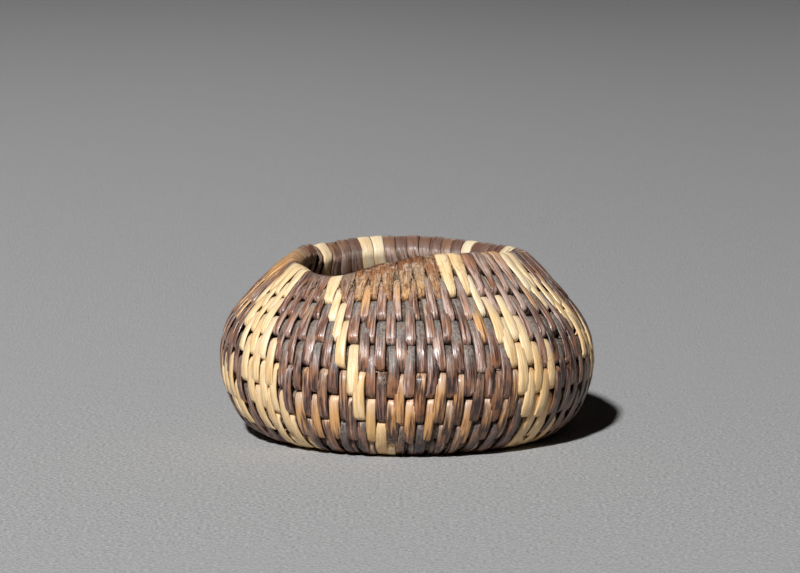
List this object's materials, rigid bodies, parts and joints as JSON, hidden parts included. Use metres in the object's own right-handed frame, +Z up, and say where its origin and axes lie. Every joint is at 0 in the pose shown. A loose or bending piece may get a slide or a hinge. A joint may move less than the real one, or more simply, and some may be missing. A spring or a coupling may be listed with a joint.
{
  "type": "miniature coiled basket",
  "caption": "Miniature coiled basket: squat rounded bowl that turns in to a wide mouth, rods coiled in a spiral and sewn round with dark and light splints.",
  "frame": {"origin": "middle of the flat base, on the surface that the basket stands on", "axes": "+Z up through the mouth, -Y towards the side that the picture shows"},
  "size_m": [0.0398, 0.0398, 0.0203],
  "materials": {
    "dark_splint": "dark dyed splint with a low sheen, its edges worn to orange brown",
    "light_splint": "natural honey splint, satin",
    "peeled_rod": "peeled rod, matte"
  },
  "bodies": {
    "root": {"start_knot": "dark_splint", "dark_splint_01": "dark_splint", "dark_splint_02": "dark_splint", "dark_splint_03": "dark_splint", "dark_splint_04": "dark_splint", "dark_splint_05": "dark_splint", "dark_splint_06": "dark_splint", "dark_splint_07": "dark_splint", "dark_splint_08": "dark_splint", "dark_splint_09": "dark_splint", "dark_splint_10": "dark_splint", "dark_splint_11": "dark_splint", "dark_splint_12": "dark_splint", "dark_splint_13": "dark_splint", "dark_splint_14": "dark_splint", "dark_splint_15": "dark_splint", "dark_splint_16": "dark_splint", "dark_splint_17": "dark_splint", "dark_splint_18": "dark_splint", "dark_splint_19": "dark_splint", "dark_splint_20": "dark_splint", "dark_splint_21": "dark_splint", "light_splint_01": "light_splint", "light_splint_02": "light_splint", "light_splint_03": "light_splint", "light_splint_04": "light_splint", "light_splint_05": "light_splint", "light_splint_06": "light_splint", "light_splint_07": "light_splint", "light_splint_08": "light_splint", "light_splint_09": "light_splint", "light_splint_10": "light_splint", "light_splint_11": "light_splint", "light_splint_12": "light_splint", "light_splint_13": "light_splint", "light_splint_14": "light_splint", "light_splint_15": "light_splint", "light_splint_16": "light_splint", "light_splint_17": "light_splint", "light_splint_18": "light_splint", "coil_tip_binding": "dark_splint", "foundation_rod_1": "peeled_rod", "foundation_rod_2": "peeled_rod", "foundation_rod_3": "peeled_rod", "foundation_rod_4": "peeled_rod", "foundation_rod_5": "peeled_rod"}
  },
  "joints": []
}
